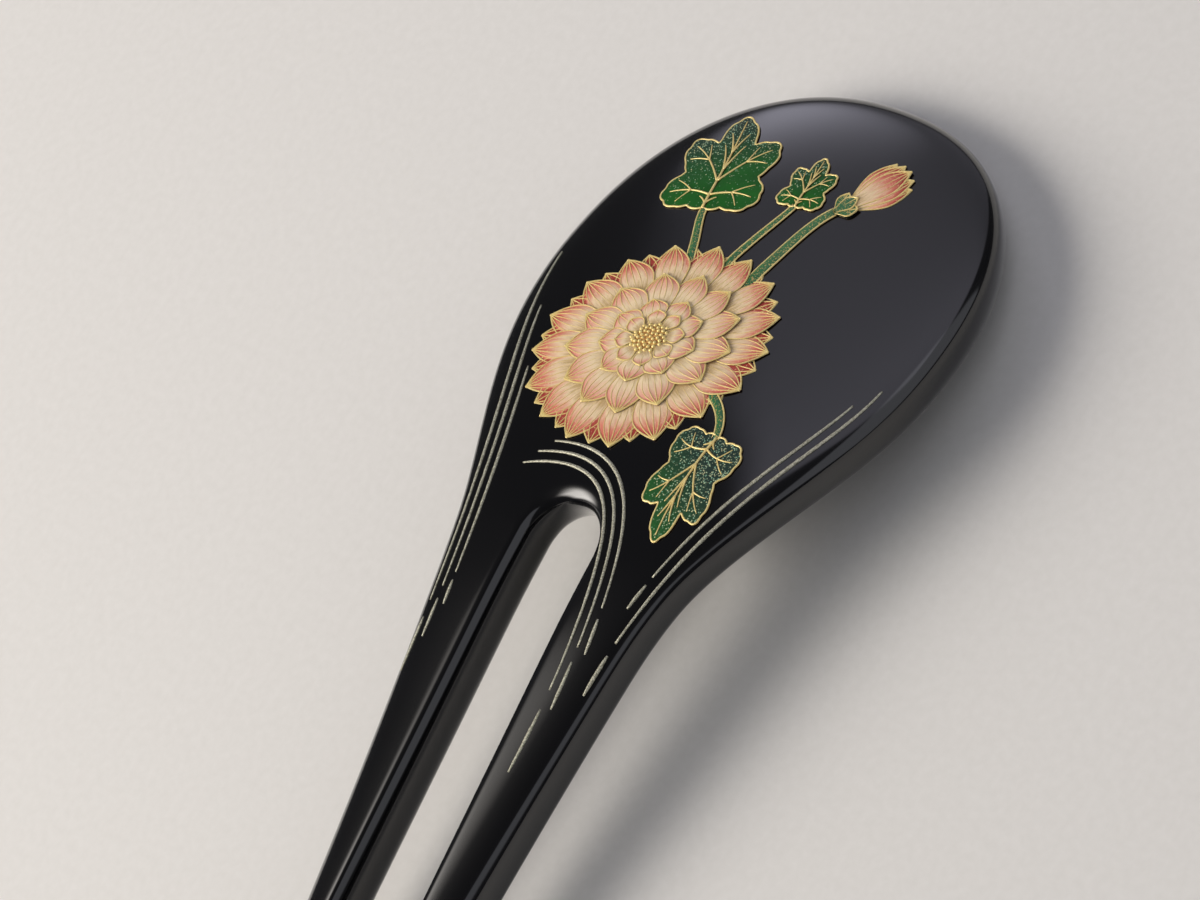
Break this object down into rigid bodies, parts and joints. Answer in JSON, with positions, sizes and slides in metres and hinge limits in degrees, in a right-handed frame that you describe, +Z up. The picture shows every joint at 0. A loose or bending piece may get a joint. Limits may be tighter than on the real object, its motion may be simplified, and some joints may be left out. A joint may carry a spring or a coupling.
{
  "type": "two-pronged hairpin (kanzashi)",
  "caption": "Two-pronged lacquered wooden hairpin with a domed, bent-back head and a raised flower and water design on its face.",
  "frame": {"origin": "centre of the pin's outline on the surface that it lies on", "axes": "+X across the pin, to the right when it is seen from above with the head away, +Y along the pin from the prong tips to the head, +Z up out of the decorated face"},
  "size_m": [0.0528, 0.1476, 0.0159],
  "materials": {
    "black_lacquer": "polished black urushi lacquer on carved wood",
    "rose_lacquer": "raised pigmented lacquer, cream at the middle to rose at the tips",
    "cream_lacquer": "raised pigmented lacquer, cream",
    "green_lacquer": "raised clear green lacquer",
    "teal_lacquer": "raised dark green lacquer with fine metal flakes",
    "gold": "sprinkled and polished gold powder",
    "pale_gold": "raised lines of pale gold and silver powder"
  },
  "bodies": {
    "root": {"body": "black_lacquer", "outer_petals": "rose_lacquer", "middle_petals": "cream_lacquer", "inner_petals": "cream_lacquer", "bloom_centre": "gold", "stems": "green_lacquer", "bud_cup": "green_lacquer", "bud": "rose_lacquer", "leaf_upper": "green_lacquer", "leaf_lower": "teal_lacquer", "leaf_small": "green_lacquer", "stream_lines": "pale_gold"}
  },
  "joints": []
}
